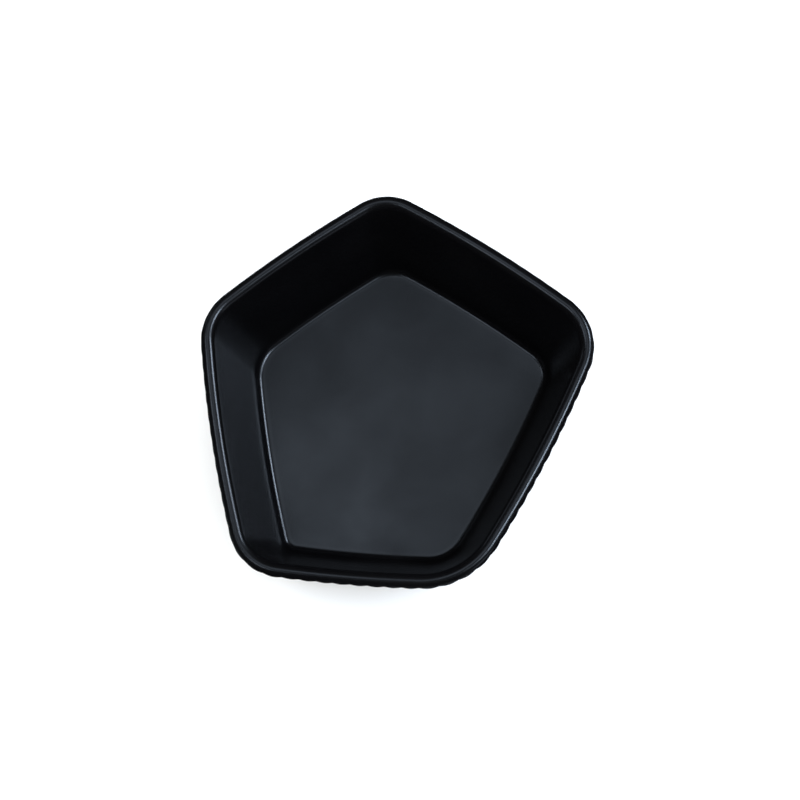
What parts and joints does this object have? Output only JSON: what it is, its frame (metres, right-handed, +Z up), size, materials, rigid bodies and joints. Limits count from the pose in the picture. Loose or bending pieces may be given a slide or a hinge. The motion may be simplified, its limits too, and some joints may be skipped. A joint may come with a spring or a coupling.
{
  "type": "serving bowl",
  "caption": "Deep serving bowl with an irregular pentagonal outline, a flat floor, a smooth tapered inside, a rounded rim and a fluted outside.",
  "frame": {"origin": "on the surface the bowl stands on, under the middle of the box that holds it", "axes": "+Z up, out of the bowl's mouth; X along the straight front side; +Y from the front side towards the back corner"},
  "size_m": [0.1636, 0.1656, 0.051],
  "materials": {
    "melamine": "satin black, moulded"
  },
  "bodies": {
    "root": {"bowl": "melamine"}
  },
  "joints": []
}
